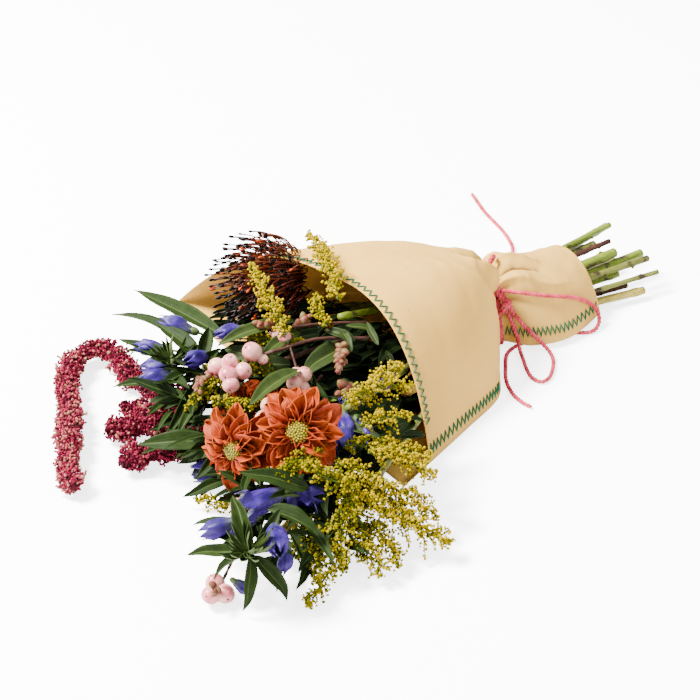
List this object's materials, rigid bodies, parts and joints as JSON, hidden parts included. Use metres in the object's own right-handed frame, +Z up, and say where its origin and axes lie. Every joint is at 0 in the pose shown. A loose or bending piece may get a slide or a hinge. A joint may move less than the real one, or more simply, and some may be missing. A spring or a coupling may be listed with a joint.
{
  "type": "mixed flower bouquet",
  "caption": "Mixed bouquet of cut flowers in a sewn kraft paper sleeve tied at the waist with pink twine, lying flat on a surface.",
  "frame": {"origin": "on the table, under the middle of the bouquet", "axes": "+X runs from the blooms to the cut ends of the stems, +Z is up, and the sewn edge of the sleeve is on the -Y side"},
  "size_m": [0.5962, 0.4468, 0.128],
  "materials": {
    "kraft_paper": "uncoated brown kraft paper",
    "green_thread": "green sewing thread",
    "pink_twine": "dyed jute twine",
    "green_stem": "smooth green stem",
    "brown_twig": "brown twig bark",
    "pale_stem": "pale ribbed stem",
    "green_leaf": "leaf, satin",
    "orange_petal": "petal, satin",
    "dark_style": "dark styles with black tips",
    "blue_petal": "petal, satin",
    "pink_berry": "waxy berry skin",
    "yellow_floret": "small dry florets",
    "crimson_tassel": "granular tassel"
  },
  "bodies": {
    "root": {"amaranth_long": "crimson_tassel", "amaranth_middle": "crimson_tassel", "amaranth_near": "crimson_tassel", "amaranth_short": "crimson_tassel", "amaranth_stem": "pale_stem", "dahlia_back": "orange_petal", "dahlia_left": "orange_petal", "dahlia_right": "orange_petal", "dahlia_stem_back": "green_stem", "dahlia_stem_left": "green_stem", "dahlia_stem_right": "green_stem", "gentian_bell_left": "blue_petal", "gentian_bell_lower_far": "blue_petal", "gentian_bell_lower_left": "blue_petal", "gentian_bell_lower_near": "blue_petal", "gentian_bell_middle": "blue_petal", "gentian_bell_right": "blue_petal", "gentian_bell_upper_far": "blue_petal", "gentian_bell_upper_near": "blue_petal", "gentian_bell_upper_tip": "blue_petal", "gentian_leaves_lower": "green_leaf", "gentian_leaves_upper": "green_leaf", "gentian_stem_lower": "pale_stem", "gentian_stem_upper": "green_stem", "goldenrod_behind": "yellow_floret", "goldenrod_edge": "yellow_floret", "goldenrod_far": "yellow_floret", "goldenrod_front": "yellow_floret", "goldenrod_inner": "yellow_floret", "goldenrod_left": "yellow_floret", "goldenrod_low": "yellow_floret", "goldenrod_lowest": "yellow_floret", "goldenrod_near": "yellow_floret", "goldenrod_stem_lower": "green_stem", "goldenrod_stem_middle": "green_stem", "goldenrod_stem_upper": "green_stem", "goldenrod_tall": "yellow_floret", "leaf_berries": "green_leaf", "leaf_dahlia": "green_leaf", "leaf_veined": "green_leaf", "mouth_stitching": "green_thread", "paper_sleeve": "kraft_paper", "protea_head": "dark_style", "protea_stem": "green_stem", "seam_stitching_neck": "green_thread", "seam_stitching_wide": "green_thread", "snowberries_between": "pink_berry", "snowberries_centre": "pink_berry", "snowberries_far": "pink_berry", "snowberries_left": "pink_berry", "snowberries_low": "pink_berry", "snowberries_top": "pink_berry", "snowberry_single": "pink_berry", "snowberry_stem_lower": "brown_twig", "snowberry_stem_upper": "brown_twig", "twine_band": "pink_twine", "twine_end_back": "pink_twine", "twine_end_front": "pink_twine", "twine_knot": "pink_twine", "twine_loop_front": "pink_twine"}
  },
  "joints": []
}
